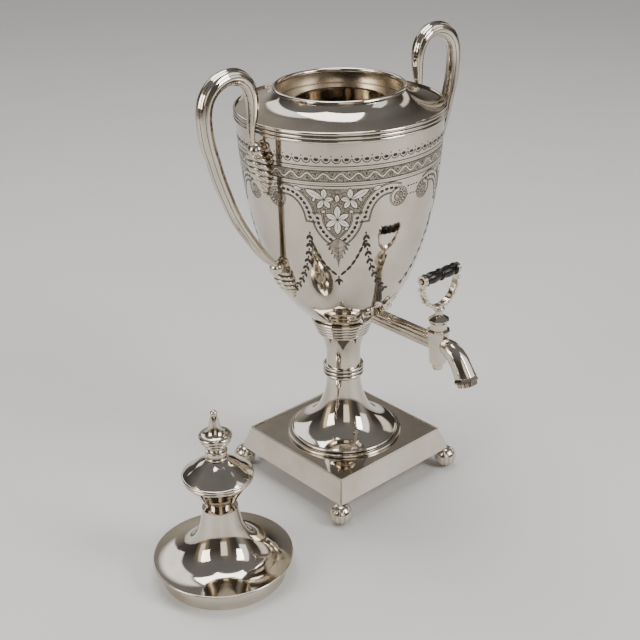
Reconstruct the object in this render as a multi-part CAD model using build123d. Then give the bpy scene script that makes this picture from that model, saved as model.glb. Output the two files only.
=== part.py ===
from build123d import *
import math
import os

os.makedirs("parts", exist_ok=True)

# Table plane is z = 0 and the upright centre line of the urn is x = y = 0.
# The tap points along -Y and the two handles stand along -X and +X.

# Sheet metal
wall = 1.5
thin_wall = 1.2

# Square plinth on four gadrooned balls
plinth_bottom_z = 18.1
plinth_top_z = 37.6
plinth_bottom_half = 66.4
plinth_top_half = 60.0
plinth_edge_bead = 0.9
corner_plate = 13.0
corner_plate_thick = 2.0
foot_spread = 64.85
foot_radius = 9.66
foot_centre_z = 9.3
foot_grooves = 14
foot_groove_radius = 0.75

# Turned foot, knop and stem
pedestal_ring_radius = 50.9
pedestal_step_radius = 47.2
pedestal_step_z = 42.6
knop_bottom_z = 95.5
knop_top_z = 106.0
knop_radius = 17.9
stem_radius = 14.9
collar_bottom_z = 137.2
collar_bottom_radius = 20.6
bowl_bottom_z = 152.7
collar_top_radius = 26.6

# Tie rod through the stem
rod_radius = 3.0
rod_hole_radius = rod_radius + 0.1
washer_thick = 1.2
nut_height = 4.5

# Bowl and its top
bowl_foot_radius = 24.9
bowl_rim_radius = 83.2
bowl_straight_z = 328.0
bowl_top_z = 338.0
rim_reeds_bottom_z = 330.5
rim_reeds_top_z = 339.5
rim_bulge = 1.5
neck_bore_radius = 50.0
neck_top_z = 350.5
neck_wire_radius = 1.85
neck_wire_centre_z = 352.2
seat_ledge_z = 340.6
seat_hole_radius = 36.5

# Lid, standing beside the urn
lid_x = -176.0
lid_y = -46.0
lid_disc_radius = 56.0
lid_underside_z = 15.5
bezel_radius = neck_bore_radius - 0.2
lid_rod_radius = 2.0
lid_rod_hole_radius = lid_rod_radius + 0.1
lid_neck_top_z = 62.0
cup_top_z = 90.3
dome_top_z = 106.2
collar_ring_top_z = 117.3
spike_top_z = 148.1

# Tap
plug_y = -111.0
flow_z = 165.0
flow_radius = 3.2
body_bottom_z = 148.7
body_shoulder_z = 176.0
body_top_z = 183.4
body_low_flat = 6.6
body_high_flat = 8.2
plug_low_radius = 4.0
plug_high_radius = 5.0
running_gap = 0.04
face_gap = 0.05
shank_radius = 3.0
stud_radius = 2.2
grip_z = 224.5
key_top_z = 196.6
ring_x = 18.8
ring_radius = 4.5
ring_hole_radius = 2.6
ring_thick = 2.8


def save(node, shape):
    shape.label = node
    export_step(shape, f"parts/{node}.step")


def edges_of(runs):
    edges = []
    for kind, *points in runs:
        spots = [Vector(r, 0, z) for r, z in points]
        if kind == "line":
            edges += [Edge.make_line(a, b) for a, b in zip(spots, spots[1:])]
        elif kind == "arc":
            edges.append(Edge.make_three_point_arc(*spots))
        else:
            edges.append(Edge.make_spline(spots))
    return edges


def turned(*runs):
    """A solid turned about the upright centre line from an outline of (radius, height) runs."""
    edges = edges_of(runs)
    start, end = edges[0] @ 0, edges[-1] @ 1
    if (start - end).length > 1e-6:
        edges.append(Edge.make_line(end, start))
    return Solid.revolve(Face(Wire(edges)), 360, Axis.Z)


def beside(points, distance):
    """The points moved sideways, to the left of the way they run."""
    moved = []
    for i, (r, z) in enumerate(points):
        r0, z0 = points[max(i - 1, 0)]
        r1, z1 = points[min(i + 1, len(points) - 1)]
        length = math.hypot(r1 - r0, z1 - z0)
        moved.append((r - (z1 - z0) / length * distance, z + (r1 - r0) / length * distance))
    return moved


def reeds(start, end, count, bulge):
    """Half-round reeds in a row from start to end, bulging to the right of the way they run."""
    runs = []
    dr, dz = end[0] - start[0], end[1] - start[1]
    length = math.hypot(dr, dz)
    for i in range(count):
        a = (start[0] + dr * i / count, start[1] + dz * i / count)
        b = (start[0] + dr * (i + 1) / count, start[1] + dz * (i + 1) / count)
        middle = ((a[0] + b[0]) / 2 + dz / length * bulge, (a[1] + b[1]) / 2 - dr / length * bulge)
        runs.append(("arc", a, middle, b))
    return runs


def ring(inner, outer, low, high):
    return turned(("line", (inner, low), (outer, low), (outer, high), (inner, high)))


def hex_nut(flats, hole, low, high):
    prism = extrude(Pos(0, 0, low) * RegularPolygon(flats / 2, 6, major_radius=False), high - low)
    return prism - Pos(0, 0, (low + high) / 2) * Cylinder(hole, high - low + 2)


def capsule(start, end, radius):
    """A round bar with ball ends."""
    a, b = Vector(*start), Vector(*end)
    bar = Solid.make_cylinder(radius, (b - a).length, Plane(origin=a, z_dir=b - a))
    return bar.fuse(Pos(*start) * Solid.make_sphere(radius, angle1=-90),
                    Pos(*end) * Solid.make_sphere(radius, angle1=-90))


# Plinth: hollow square box with sloping sides, open below, with a plate over each foot
def square_frustum(low_half, high_half, low, high):
    return loft([Pos(0, 0, low) * Rectangle(2 * low_half, 2 * low_half),
                 Pos(0, 0, high) * Rectangle(2 * high_half, 2 * high_half)])


plinth_slope = (plinth_bottom_half - plinth_top_half) / (plinth_top_z - plinth_bottom_z)
shell = square_frustum(plinth_bottom_half, plinth_top_half, plinth_bottom_z, plinth_top_z)
upright_edges = [e for e in shell.edges() if abs((e @ 0).Z - (e @ 1).Z) > 1]
shell = fillet(upright_edges, 1.0)
hollow = square_frustum(plinth_bottom_half - wall + plinth_slope, plinth_top_half - wall + plinth_slope * wall,
                        plinth_bottom_z - 1, plinth_top_z - wall)
plates = [Pos(sx * (plinth_bottom_half - corner_plate / 2 - 0.6), sy * (plinth_bottom_half - corner_plate / 2 - 0.6),
              plinth_bottom_z + corner_plate_thick / 2) * Box(corner_plate, corner_plate, corner_plate_thick)
          for sx in (-1, 1) for sy in (-1, 1)]
keep = square_frustum(plinth_bottom_half - 0.4, plinth_top_half - 0.4, plinth_bottom_z, plinth_top_z)
plinth = shell - hollow
for plate in plates:
    plinth += plate & keep
bead_centre = plinth_top_half - plinth_edge_bead * 0.6
for turn in range(4):
    bar = capsule((-bead_centre, bead_centre, plinth_top_z), (bead_centre, bead_centre, plinth_top_z),
                  plinth_edge_bead)
    plinth += Rot(0, 0, 90 * turn) * bar
plinth -= Pos(0, 0, plinth_top_z) * Cylinder(rod_hole_radius, 8)
save("base_plinth", plinth)

# Feet: balls with upright grooves, a flat above for the plate and a small flat on the table
ball = Pos(0, 0, foot_centre_z) * Solid.make_sphere(foot_radius, angle1=-90)
ball = ball & (Pos(0, 0, plinth_bottom_z / 2) * Box(30, 30, plinth_bottom_z))
groove = Solid.make_torus(foot_radius + 0.25, foot_groove_radius, Plane.XY, 0, 360, 104)
groove = Rot(0, 0, -52) * groove
groove = Pos(0, 0, foot_centre_z) * Rot(90, 0, 0) * groove
ball -= [Rot(0, 0, 360 / foot_grooves * (i + 0.5)) * groove for i in range(foot_grooves)]
for node, sx, sy in (("foot_front_left", -1, -1), ("foot_front_right", 1, -1),
                     ("foot_back_left", -1, 1), ("foot_back_right", 1, 1)):
    save(node, Pos(sx * foot_spread, sy * foot_spread, 0) * ball)

# Pedestal: a stepped ring and a trumpet up to the knop
trumpet = [(45.4, 43.2), (40.0, 45.6), (34.0, 49.4), (28.5, 54.4), (24.2, 60.0), (21.0, 66.2), (18.4, 73.0),
           (16.5, 80.0), (15.3, 88.0), (15.0, knop_bottom_z)]
trumpet_inside = beside(trumpet, thin_wall)
trumpet_inside[-1] = (trumpet[-1][0] - thin_wall, knop_bottom_z)
pedestal = turned(
    ("line", (pedestal_step_radius - 3.5, plinth_top_z), (pedestal_ring_radius - 1.2, plinth_top_z)),
    ("arc", (pedestal_ring_radius - 1.2, plinth_top_z), (pedestal_ring_radius, plinth_top_z + 1.2),
     (pedestal_ring_radius - 1.2, plinth_top_z + 2.4)),
    ("line", (pedestal_ring_radius - 1.2, plinth_top_z + 2.4), (pedestal_step_radius - 0.2, pedestal_step_z - 2.2)),
    ("arc", (pedestal_step_radius - 0.2, pedestal_step_z - 2.2), (pedestal_step_radius + 0.4, pedestal_step_z - 0.9),
     (pedestal_step_radius - 0.9, pedestal_step_z)),
    ("line", (pedestal_step_radius - 0.9, pedestal_step_z), trumpet[0]),
    ("curve", *trumpet),
    ("line", trumpet[-1], trumpet_inside[-1]),
    ("curve", *reversed(trumpet_inside)),
    ("line", trumpet_inside[0], (pedestal_step_radius - 3.5, plinth_top_z)),
)
save("pedestal", pedestal)

# Knop: three reeds between the trumpet and the stem
knop = turned(
    ("line", (12.5, knop_bottom_z), (knop_radius - 1.9, knop_bottom_z)),
    *reeds((knop_radius - 1.9, knop_bottom_z), (knop_radius - 1.7, knop_top_z), 3, 1.75),
    ("line", (knop_radius - 1.7, knop_top_z), (12.5, knop_top_z)),
)
save("knop_ring", knop)

# Stem cup, opening towards the collar under the bowl
stem = [(stem_radius + 0.2, knop_top_z), (stem_radius, 112.0), (stem_radius + 0.1, 118.0),
        (stem_radius + 0.9, 124.0), (stem_radius + 2.6, 130.5), (collar_bottom_radius - 0.6, collar_bottom_z)]
stem_inside = beside(stem, thin_wall)
stem_inside[0] = (stem[0][0] - thin_wall, knop_top_z)
stem_inside[-1] = (stem[-1][0] - thin_wall, collar_bottom_z)
save("stem_cup", turned(("curve", *stem), ("line", stem[-1], stem_inside[-1]), ("curve", *reversed(stem_inside))))

# Reeded collar that carries the bowl
collar = turned(
    ("line", (15.0, collar_bottom_z), (collar_bottom_radius, collar_bottom_z)),
    *reeds((collar_bottom_radius, collar_bottom_z), (collar_top_radius, bowl_bottom_z), 5, 1.4),
    ("line", (collar_top_radius, bowl_bottom_z), (15.0, bowl_bottom_z)),
)
save("bowl_collar", collar)

# Bowl: a hollow body, straight for its last centimetre, with a hole for the tap
bowl_side = [(bowl_foot_radius, bowl_bottom_z), (39.0, 165.0), (50.0, 178.9), (62.6, 205.1), (70.7, 231.4),
             (76.3, 257.6), (80.0, 283.8), (82.3, 308.0), (bowl_rim_radius, bowl_straight_z)]
bowl_inside = beside(bowl_side, wall)
bowl_inside[-1] = (bowl_rim_radius - wall, bowl_straight_z)
bowl_floor_z = bowl_bottom_z + wall
bowl_inside[0] = (bowl_foot_radius - 0.6, bowl_floor_z)
bowl_core = turned(
    ("line", (0, bowl_bottom_z), bowl_side[0]),
    ("curve", *bowl_side),
    ("line", bowl_side[-1], (bowl_rim_radius, bowl_top_z), (0, bowl_top_z)),
)
bowl = turned(
    ("line", (rod_hole_radius, bowl_bottom_z), bowl_side[0]),
    ("curve", *bowl_side),
    ("line", bowl_side[-1], (bowl_rim_radius, bowl_top_z), (bowl_rim_radius - wall, bowl_top_z), bowl_inside[-1]),
    ("curve", *reversed(bowl_inside)),
    ("line", bowl_inside[0], (rod_hole_radius, bowl_floor_z)),
)
bowl -= Pos(0, -45, flow_z) * Rot(90, 0, 0) * Cylinder(flow_radius, 50)
save("bowl", bowl)

# Reeded moulding around the joint of bowl and shoulder
save("rim_moulding", turned(
    *reeds((bowl_rim_radius + 0.35, rim_reeds_bottom_z), (bowl_rim_radius + 0.35, rim_reeds_top_z), 3, rim_bulge),
    ("line", (bowl_rim_radius + 0.35, rim_reeds_top_z), (bowl_rim_radius, rim_reeds_top_z),
     (bowl_rim_radius, rim_reeds_bottom_z)),
))

# Shoulder, sweeping up to the neck
neck_outer = neck_bore_radius + thin_wall
shoulder_side = [(bowl_rim_radius, bowl_top_z), (78.5, 338.7), (72.0, 339.9), (66.0, 341.4), (61.0, 343.3),
                 (57.0, 345.7), (54.3, 348.4), (neck_outer + 1.6, neck_top_z)]
shoulder_inside = beside(shoulder_side, thin_wall)
shoulder_inside[0] = (bowl_rim_radius - wall, bowl_top_z - 0.0)
inside_end = (neck_outer, 344.9)
shoulder = turned(
    ("curve", *shoulder_side),
    ("line", shoulder_side[-1], (neck_outer, neck_top_z), inside_end),
    ("curve", inside_end, (55.6, 343.9), (60.3, 341.6), (66.0, 339.8), (72.0, 338.5), (78.0, 337.4),
     (bowl_rim_radius - wall - 0.6, 336.6)),
    ("line", (bowl_rim_radius - wall - 0.6, 336.6), (bowl_rim_radius - wall, 336.9), (bowl_rim_radius - wall, bowl_top_z)),
)
save("shoulder", shoulder)

# Neck: rolled wire on top, and a turned seat with a ledge inside
wire = Pos(0, 0, neck_wire_centre_z) * Solid.make_torus(neck_bore_radius + neck_wire_radius, neck_wire_radius)
wire = wire - Pos(0, 0, neck_top_z - 5) * Cylinder(70, 10)
save("neck_rim", wire)
save("neck_seat", turned(
    ("line", (seat_hole_radius, seat_ledge_z), (neck_bore_radius + thin_wall, seat_ledge_z), (neck_outer, neck_top_z),
     (neck_bore_radius, neck_top_z), (neck_bore_radius, seat_ledge_z + thin_wall),
     (seat_hole_radius, seat_ledge_z + thin_wall)),
))

# Tie rod, seal nut in the bowl, washer and nut in the plinth
low_washer_z = plinth_top_z - wall - washer_thick
low_nut_z = low_washer_z - nut_height
high_nut_z = bowl_floor_z + nut_height
save("stem_rod", Pos(0, 0, (low_nut_z - 2 + high_nut_z) / 2) * Cylinder(rod_radius, high_nut_z - low_nut_z + 2))
save("rod_washer", ring(rod_radius, 9.0, low_washer_z, plinth_top_z - wall))
save("rod_nut", hex_nut(11.0, rod_radius, low_nut_z, low_washer_z))
seal = ring(rod_radius, 8.0, bowl_floor_z, bowl_floor_z + 1.0)
save("seal_washer", seal)
save("seal_nut", hex_nut(11.0, rod_radius, bowl_floor_z + 1.0, high_nut_z))


# Handle mounts: a leaf of raised gadroons on the bowl, cut to its curve
def leaf_mount(centre, tilt, lobe, rows, tip, bulge, out_share, lean):
    """A turned row of reeds, flattened and sheared so that they run down both flanks from the keel."""
    runs = [("curve", *lobe, rows[0])]
    for a, b in zip(rows, rows[1:]):
        runs += reeds(a, b, 1, -bulge * (a[0] + b[0]) / (rows[0][0] * 2))
    runs.append(("curve", rows[-1], *tip))
    shape = turned(*runs)
    flatten = Matrix([[out_share, 0, 0, 0], [0, 1, 0, 0], [-lean * out_share, 0, 1, 0]])
    return Pos(*centre) * Rot(0, tilt, 0) * shape.transform_geometry(flatten)


upper_ball = Pos(-87.2, 0, 319.5) * Solid.make_sphere(6.4, angle1=-90)
upper_mount = leaf_mount(
    (-84.2, 0, 303.0), -10.0, [(0, 17.5), (4.6, 16.9), (7.0, 14.8)],
    [(8.0, 12.0), (9.4, 6.6), (9.6, 1.2), (8.9, -4.2), (7.6, -9.4), (5.7, -14.2), (3.4, -18.4)],
    [(3.9, -20.0), (2.4, -21.8), (0, -22.2)], 1.5, 0.62, 0.7)
upper_mount = upper_mount.fuse(upper_ball) - bowl_core
lower_ball = Pos(-71.4, 0, 217.6) * Solid.make_sphere(6.3, angle1=-90)
lower_mount = leaf_mount(
    (-62.6, 0, 204.0), -21.0, [(0, 16.0), (3.4, 15.4), (5.2, 13.6)],
    [(5.9, 12.2), (8.0, 7.6), (8.6, 2.8), (8.3, -2.0), (7.3, -6.6), (5.8, -10.8), (3.8, -14.6)],
    [(3.6, -16.4), (2.2, -18.2), (0, -18.8)], 1.4, 0.74, 0.6)
lower_mount = lower_mount.fuse(lower_ball) - bowl_core

# Handles: a reeded bar that swells at the top and tapers into both mounts
handle_line = [(-70.8, 214.8), (-85.5, 234.0), (-95.0, 247.0), (-104.6, 261.8), (-113.0, 278.2), (-119.8, 295.4),
               (-125.3, 311.5), (-129.8, 327.5), (-132.6, 341.3), (-133.4, 354.0), (-131.0, 365.4), (-125.0, 373.4),
               (-116.8, 378.0), (-107.6, 379.2), (-98.8, 376.6), (-92.4, 370.4), (-89.2, 361.4), (-88.8, 351.0),
               (-90.0, 340.0), (-90.6, 330.5), (-88.6, 321.5)]
handle_radius = [3.9, 4.1, 4.4, 4.7, 5.0, 5.25, 5.45, 5.6, 5.75, 5.9, 6.1, 6.3, 6.4, 6.35, 6.1, 5.75, 5.3, 4.7,
                 3.7, 2.6, 2.0]
handle_reeds = 8
reed_depth = 0.06
spine = Edge.make_spline([Vector(x, 0, z) for x, z in handle_line])
sections = []
for (x, z), radius in zip(handle_line, handle_radius):
    share = spine.param_at_point(Vector(x, 0, z))
    along = spine % share
    plane = Plane(origin=Vector(x, 0, z), x_dir=Vector(0, 1, 0), z_dir=along)
    points = []
    steps = handle_reeds * 4
    for k in range(steps):
        angle = 2 * math.pi * k / steps
        r = radius * (1 + reed_depth * (abs(math.cos(handle_reeds * angle / 2)) - 0.5))
        points.append(plane.from_local_coords(Vector(r * math.cos(angle), r * math.sin(angle), 0)))
    sections.append(Wire([Edge.make_spline(points, periodic=True)]))
handle = Solid.make_loft(sections)
handle = handle - upper_ball - lower_ball
handle = max(handle.solids(), key=lambda s: s.volume)

around = Rot(0, 0, 180)
save("handle_left", handle)
save("handle_right", around * handle)
save("mount_upper_left", upper_mount)
save("mount_upper_right", around * upper_mount)
save("mount_lower_left", lower_mount)
save("mount_lower_right", around * lower_mount)

# Tap body: a tapered octagon with a round shoulder, bored for the plug and the water
def octagon(flat, z, y=0.0):
    return Pos(0, y, z) * RegularPolygon(flat, 8, major_radius=False, rotation=22.5)


def octagon_frustum(low_flat, high_flat, low, high):
    return loft([octagon(low_flat, low), octagon(high_flat, high)])


body_core = octagon_frustum(body_low_flat, body_high_flat, body_bottom_z, body_shoulder_z)
body_core += octagon_frustum(body_high_flat, body_high_flat + 0.7, body_shoulder_z, body_shoulder_z + 1.0)
body_core += octagon_frustum(body_high_flat + 0.7, 6.6, body_shoulder_z + 1.0, body_shoulder_z + 2.2)
body_core += octagon_frustum(6.6, 6.6, body_shoulder_z + 2.2, body_top_z)
plug_slope = (plug_high_radius - plug_low_radius) / (body_top_z - body_bottom_z)


def plug_cone(gap, extra):
    return turned(("line", (0, body_bottom_z - extra), (plug_low_radius + gap - plug_slope * extra, body_bottom_z - extra),
                   (plug_high_radius + gap + plug_slope * extra, body_top_z + extra), (0, body_top_z + extra)))


water_way = Rot(90, 0, 0) * Cylinder(flow_radius, 40)
tap_body = body_core - plug_cone(running_gap, 1.0) - Pos(0, 0, flow_z) * water_way
save("tap_body", Pos(0, plug_y, 0) * tap_body)
body_in_place = Pos(0, plug_y, 0) * body_core

# Reeded barrel from the bowl to the tap body
barrel_face = Circle(5.7) + PolarLocations(5.1, 11) * Circle(1.65)
barrel = Pos(0, -30, flow_z) * Rot(90, 0, 0) * extrude(barrel_face, -plug_y - 30)
barrel -= Pos(0, -70, flow_z) * Rot(90, 0, 0) * Cylinder(flow_radius, 120)
barrel = barrel - bowl_core - body_in_place
save("tap_barrel", barrel)

# Leaf plate where the barrel meets the bowl
leaf_tilt = 48.0
leaf_dome_radius = 42.0
leaf_face = Circle(9.0)
for angle, reach, half_width in [(90, 21.0, 4.6), (56, 19.5, 4.2), (124, 19.5, 4.2), (22, 17.5, 4.0), (158, 17.5, 4.0),
                                 (-14, 14.5, 3.6), (194, 14.5, 3.6), (-50, 12.0, 3.4), (230, 12.0, 3.4), (-90, 11.5, 3.4)]:
    leaf_face += Rot(0, 0, angle) * Pos(reach / 2, 0) * Ellipse(reach / 2, half_width)
leaf = Pos(0, 0, -3.0) * extrude(leaf_face, 6.5)
leaf &= Pos(0, 0, 3.4 - leaf_dome_radius) * Solid.make_sphere(leaf_dome_radius, angle1=-90)
leaf_plane = Plane(origin=(0, -39.4, flow_z), x_dir=(1, 0, 0),
                   z_dir=(0, -math.sin(math.radians(leaf_tilt)), -math.cos(math.radians(leaf_tilt))))
barrel_hull = Pos(0, -20, flow_z) * Rot(90, 0, 0) * extrude(barrel_face, 70)
save("tap_escutcheon", leaf_plane.location * leaf - bowl_core - barrel_hull)

# Nozzle: an eight-sided spout bending down, with a flared lip
nozzle_line = [(-112.0, 165.0, 0, 6.3), (-119.5, 165.0, 3, 6.4), (-126.6, 163.2, 26, 6.7), (-133.0, 158.6, 47, 7.1),
               (-137.6, 152.2, 62, 7.5), (-140.4, 146.4, 70, 8.1)]


def nozzle_plane(y, z, bend):
    angle = math.radians(bend)
    return Plane(origin=(0, y, z), x_dir=(1, 0, 0), z_dir=(0, -math.cos(angle), -math.sin(angle)))


outer = [nozzle_plane(y, z, bend) * RegularPolygon(flat, 8, major_radius=False, rotation=22.5)
         for y, z, bend, flat in nozzle_line]
inner = [nozzle_plane(y, z, bend) * Circle(flow_radius + 0.12 * i) for i, (y, z, bend, flat) in enumerate(nozzle_line)]
nozzle = loft(outer) - loft(inner) - body_in_place
nozzle = max(nozzle.solids(), key=lambda s: s.volume)
save("tap_nozzle", nozzle)

lip_plane = nozzle_plane(*nozzle_line[-1][:3])
lip_bore = flow_radius + 0.12 * 5
lip = loft([RegularPolygon(8.1, 8, major_radius=False, rotation=22.5),
            Pos(0, 0, 2.4) * RegularPolygon(9.5, 8, major_radius=False, rotation=22.5)])
lip += extrude(Pos(0, 0, 2.4) * RegularPolygon(9.5, 8, major_radius=False, rotation=22.5), 1.2)
lip += extrude(Pos(0, 0, 3.6) * Circle(7.4), 4.0)
for i in range(14):
    lip += Rot(0, 0, i * 360 / 14) * Pos(7.3, 0, 3.6) * extrude(Circle(0.9), 4.0)
lip -= Pos(0, 0, 4) * Cylinder(lip_bore, 12)
save("tap_nozzle_lip", lip_plane.location * lip)

# Turning key: plug with its cross port, octagonal collar, yoke, grip and pin
plug = plug_cone(0, 0)
plug += Pos(0, 0, body_top_z + 3.5) * Cylinder(shank_radius, 7.0)
nut_low_z = 141.6
washer_low_z = body_bottom_z - face_gap - 1.2
plug += Pos(0, 0, (nut_low_z + 1.0 + body_bottom_z) / 2) * Cylinder(stud_radius, body_bottom_z - nut_low_z - 1.0)
plug -= Pos(0, 0, flow_z) * Rot(0, 90, 0) * Cylinder(flow_radius - 0.2, 30)
save("tap_plug", Pos(0, plug_y, 0) * plug)

collar_low_z = body_top_z + face_gap
key_collar = octagon_frustum(6.7, 8.1, collar_low_z, collar_low_z + 2.4)
key_collar += octagon_frustum(8.1, 8.1, collar_low_z + 2.4, collar_low_z + 3.0)
key_collar += octagon_frustum(8.1, 4.0, collar_low_z + 3.0, collar_low_z + 6.2)
key_collar += turned(("line", (0, 189.0), (3.9, 189.0)), ("curve", (3.9, 189.0), (3.2, 191.5), (3.4, 194.2)),
                     ("arc", (3.4, 194.2), (4.7, 195.4), (3.6, key_top_z)), ("line", (3.6, key_top_z), (0, key_top_z)))
key_collar -= Pos(0, 0, body_top_z + 3.5) * Cylinder(shank_radius, 7.0)
save("key_collar", Pos(0, plug_y, 0) * key_collar)

yoke_line = [(-ring_x, grip_z - 3.6), (-18.0, 213.5), (-14.6, 206.0), (-8.6, 200.6), (0, 198.4),
             (8.6, 200.6), (14.6, 206.0), (18.0, 213.5), (ring_x, grip_z - 3.6)]
yoke_spine = Edge.make_spline([Vector(x, 0, z) for x, z in yoke_line])
yoke_start = Plane(origin=yoke_spine @ 0, x_dir=Vector(0, 1, 0), z_dir=yoke_spine % 0)
yoke = sweep(yoke_start * RectangleRounded(5.6, 2.2, 0.9), path=yoke_spine)
for i in range(11):
    share = 0.06 + 0.88 * i / 10
    spot, way = yoke_spine @ share, yoke_spine % share
    out = Vector(way.Z, 0, -way.X)
    size = 1.7 if i % 2 == 0 else 1.25
    for side in (-1, 1):
        yoke += Pos(*(spot + out * 0.9 + Vector(0, side * 2.2, 0))) * Solid.make_sphere(size, angle1=-90)
for side in (-1, 1):
    eye = Pos(side * ring_x, 0, grip_z) * Rot(0, 90, 0) * Cylinder(ring_radius, ring_thick)
    yoke += eye
for side in (-1, 1):
    yoke -= Pos(side * ring_x, 0, grip_z) * Rot(0, 90, 0) * Cylinder(ring_hole_radius, ring_thick + 8)
yoke += Pos(0, 0, key_top_z + 0.8) * Cylinder(3.4, 1.6)
grip_room = Pos(0, 0, grip_z) * Rot(0, 90, 0) * Cylinder(5.6, 2 * ring_x - ring_thick)
yoke -= grip_room
yoke &= Pos(0, 0, key_top_z + 50) * Box(100, 30, 100)
save("key_yoke", Pos(0, plug_y, 0) * yoke)

half = ring_x - ring_thick / 2
grip = turned(
    ("line", (0, -half - ring_thick), (ring_hole_radius, -half - ring_thick), (ring_hole_radius, -half), (4.2, -half)),
    ("arc", (4.2, -half), (5.0, -half + 1.2), (4.2, -half + 2.4)),
    ("line", (4.2, -half + 2.4), (3.6, -half + 2.8)),
    ("curve", (3.6, -half + 2.8), (4.4, -half + 5.2), (4.9, -half + 8.2), (4.6, -half + 11.5), (4.0, -1.7)),
    ("line", (4.0, -1.7), (4.5, -1.4)),
    ("arc", (4.5, -1.4), (5.1, 0), (4.5, 1.4)),
    ("line", (4.5, 1.4), (4.0, 1.7)),
    ("curve", (4.0, 1.7), (4.6, half - 11.5), (4.9, half - 8.2), (4.4, half - 5.2), (3.6, half - 2.8)),
    ("line", (3.6, half - 2.8), (4.2, half - 2.4)),
    ("arc", (4.2, half - 2.4), (5.0, half - 1.2), (4.2, half)),
    ("line", (4.2, half), (ring_hole_radius, half), (ring_hole_radius, half + ring_thick), (0, half + ring_thick)),
)
pin_radius = 0.9
grip -= Cylinder(pin_radius, 60)
along_x = Pos(0, plug_y, grip_z) * Rot(0, 90, 0)
save("key_grip", along_x * grip)
pin = Cylinder(pin_radius, 2 * (half + ring_thick))
for side in (-1, 1):
    pin += Pos(0, 0, side * (half + ring_thick + 0.4)) * Cylinder(1.5, 0.8)
save("grip_pin", along_x * pin)

save("plug_washer", Pos(0, plug_y, 0) * ring(stud_radius, 5.4, washer_low_z, body_bottom_z - face_gap))
plug_nut = turned(("line", (0, nut_low_z), (2.6, nut_low_z)),
                  ("arc", (2.6, nut_low_z), (3.9, nut_low_z + 0.9), (4.4, nut_low_z + 2.6)),
                  ("line", (4.4, nut_low_z + 2.6), (4.4, washer_low_z), (0, washer_low_z)))
plug_nut -= Pos(0, 0, (nut_low_z + 1.0 + washer_low_z) / 2) * Cylinder(stud_radius, washer_low_z - nut_low_z - 1.0)
save("plug_nut", Pos(0, plug_y, 0) * plug_nut)

# Lid, with heights counted from the table that its bezel stands on
at_lid = Pos(lid_x, lid_y, 0)
cover_side = [(lid_disc_radius - 0.8, 17.3), (50.0, 17.9), (42.0, 19.5), (34.5, 22.4), (28.5, 26.4), (23.6, 31.6),
              (20.0, 37.6), (17.4, 44.2), (15.7, 51.0), (14.6, 57.0), (14.1, lid_neck_top_z)]
cover_inside = beside(cover_side, thin_wall)
cover_inside[0] = (bezel_radius - thin_wall, 16.8)
cover_inside[-1] = (cover_side[-1][0] - thin_wall, lid_neck_top_z - wall)
del cover_inside[1]
save("lid_cover", at_lid * turned(
    ("line", (bezel_radius - thin_wall, lid_underside_z), (lid_disc_radius - 0.8, lid_underside_z)),
    ("arc", (lid_disc_radius - 0.8, lid_underside_z), (lid_disc_radius, 16.4), cover_side[0]),
    ("curve", *cover_side),
    ("line", cover_side[-1], (lid_rod_hole_radius, lid_neck_top_z), (lid_rod_hole_radius, lid_neck_top_z - wall),
     cover_inside[-1]),
    ("curve", *reversed(cover_inside)),
))
save("lid_bezel", at_lid * ring(bezel_radius - thin_wall, bezel_radius, 0, lid_underside_z))

cup_side = [(10.0, lid_neck_top_z), (12.0, 65.6), (14.6, 70.2), (18.2, 76.0), (22.4, 82.0), (26.0, 87.4)]
cup_inside = beside(cup_side, thin_wall)
cup_inside[0] = (8.9, lid_neck_top_z + wall)
save("finial_cup", at_lid * turned(
    ("line", (lid_rod_hole_radius, lid_neck_top_z), cup_side[0]),
    ("curve", *cup_side),
    ("arc", cup_side[-1], (27.4, 88.8), (26.4, cup_top_z)),
    ("line", (26.4, cup_top_z), (cup_inside[-1][0], cup_top_z), cup_inside[-1]),
    ("curve", *reversed(cup_inside)),
    ("line", cup_inside[0], (lid_rod_hole_radius, lid_neck_top_z + wall)),
))

dome_side = [(27.0, 93.0), (25.0, 94.8), (20.2, 98.4), (14.6, 102.6), (10.6, 105.0), (8.9, dome_top_z)]
dome_inside = beside(dome_side, thin_wall)
dome_inside[-1] = (8.6, dome_top_z - wall)
dome_inside[0] = (24.8, 93.0)
save("finial_dome", at_lid * turned(
    ("line", (24.8, cup_top_z), (26.8, cup_top_z)),
    ("arc", (26.8, cup_top_z), (28.1, 91.6), dome_side[0]),
    ("curve", *dome_side),
    ("line", dome_side[-1], (lid_rod_hole_radius, dome_top_z), (lid_rod_hole_radius, dome_top_z - wall),
     dome_inside[-1]),
    ("curve", *reversed(dome_inside)),
))

finial_collar = turned(
    ("line", (lid_rod_hole_radius, dome_top_z), (7.6, dome_top_z)),
    ("arc", (7.6, dome_top_z), (8.7, 107.3), (7.6, 108.4)),
    ("curve", (7.6, 108.4), (8.2, 110.4), (8.2, 112.2)),
    ("arc", (8.2, 112.2), (8.7, 112.9), (7.9, 113.6)),
    ("curve", (7.9, 113.6), (6.4, 114.4), (5.9, 115.7)),
    ("arc", (5.9, 115.7), (7.0, 116.5), (6.2, collar_ring_top_z)),
    ("line", (6.2, collar_ring_top_z), (lid_rod_hole_radius, collar_ring_top_z)),
)
save("finial_collar", at_lid * finial_collar)

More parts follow.
